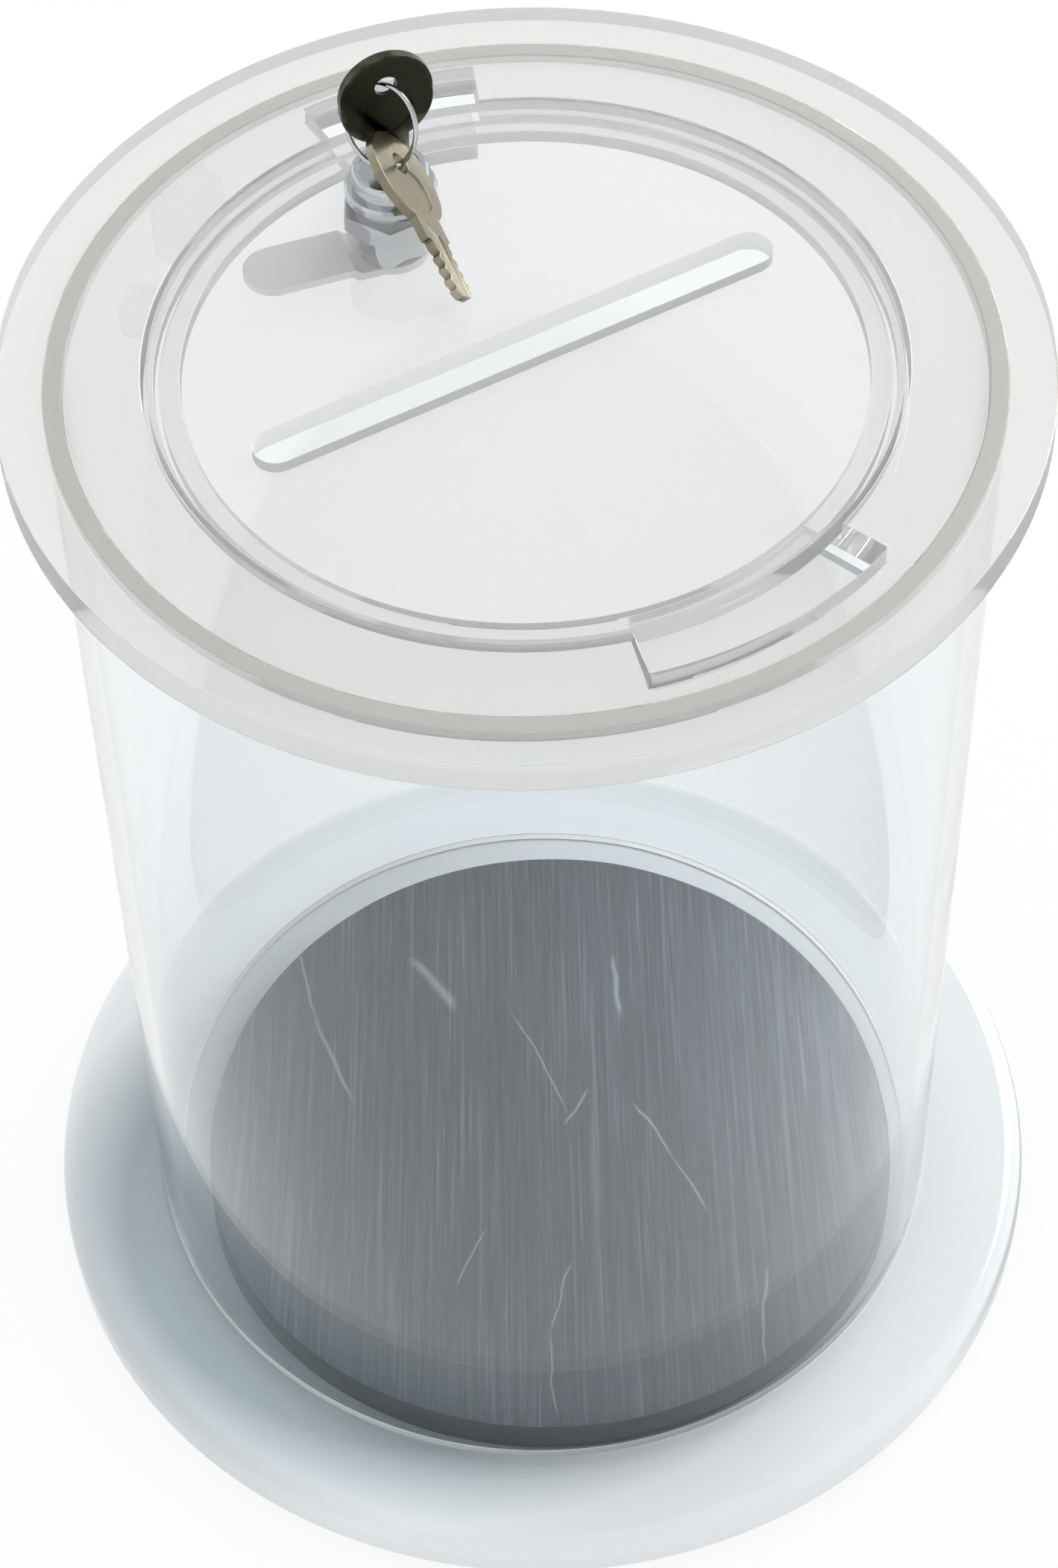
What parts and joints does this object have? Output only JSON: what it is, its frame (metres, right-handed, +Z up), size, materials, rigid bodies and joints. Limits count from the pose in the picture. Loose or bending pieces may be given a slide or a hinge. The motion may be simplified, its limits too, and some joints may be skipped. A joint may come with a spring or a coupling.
{
  "type": "donation box",
  "caption": "Round clear collection box on a white base plate: flanged top, turn-and-lift lid with a money slot, keyed cam lock, keys on a split ring and a loose steel ballast disc inside.",
  "frame": {"origin": "on the floor under the middle of the base plate", "axes": "+Z up, -Y the side the opened lid's lock faces away from, +X to the right seen from -Y"},
  "size_m": [0.252, 0.252, 0.3325],
  "materials": {
    "clear_acrylic": "clear, polished, flame-polished edges",
    "white_acrylic": "white, high gloss",
    "foot_rubber": "matt black",
    "brushed_steel": "straight-brushed with light scratches",
    "chrome": "bright plated",
    "zinc_steel": "zinc-plated",
    "nickel_key": "nickel-plated brass, lightly worn"
  },
  "bodies": {
    "frame": {"base_plate": "white_acrylic", "feet": "foot_rubber", "tube": "clear_acrylic", "top_ring": "clear_acrylic", "lock_keeper": "clear_acrylic", "lug_stop": "clear_acrylic"},
    "ballast": {"ballast_disc": "brushed_steel"},
    "spigot": {"spigot_ring": "clear_acrylic"},
    "lid": {"lid_disc": "clear_acrylic", "lug_wide": "clear_acrylic", "lug_narrow": "clear_acrylic", "lock_body": "chrome", "lock_nut": "chrome"},
    "core": {"lock_plug": "zinc_steel", "stop_washer": "zinc_steel", "cam": "zinc_steel", "cam_screw": "zinc_steel"},
    "key": {"key": "nickel_key"},
    "ring": {"key_ring": "chrome"},
    "spare": {"spare_key": "nickel_key"}
  },
  "joints": [
    {"name": "ballast_shift", "type": "slide", "parent": "frame", "child": "ballast", "axis": [-0.2656, 0.9641, 0], "range_m": [0, 0.01429]},
    {"name": "lid_lift", "type": "slide", "parent": "frame", "child": "spigot", "axis": [0, 0, 1], "range_m": [0, 0.08]},
    {"name": "lid_turn", "type": "hinge", "parent": "spigot", "child": "lid", "pos_m": [0, 0, 0.295], "axis": [0, 0, 1], "range_deg": [0, 40]},
    {"name": "lock_turn", "type": "hinge", "parent": "lid", "child": "core", "pos_m": [-0.02812, 0.05073, 0.295], "axis": [0, 0, 1], "range_deg": [-90, 0]},
    {"name": "key_slide", "type": "slide", "parent": "core", "child": "key", "axis": [0, 0, 1], "range_m": [0, 0.02]},
    {"name": "ring_turn", "type": "hinge", "parent": "key", "child": "ring", "pos_m": [-0.0292, 0.0472, 0.31629], "axis": [0.5683, 0.726, -0.3872], "range_deg": [-110, 0]},
    {"name": "spare_swing", "type": "hinge", "parent": "ring", "child": "spare", "pos_m": [-0.02606, 0.04145, 0.31012], "axis": [0.775, 0.1032, 0.6234], "range_deg": [-50, 0]}
  ]
}
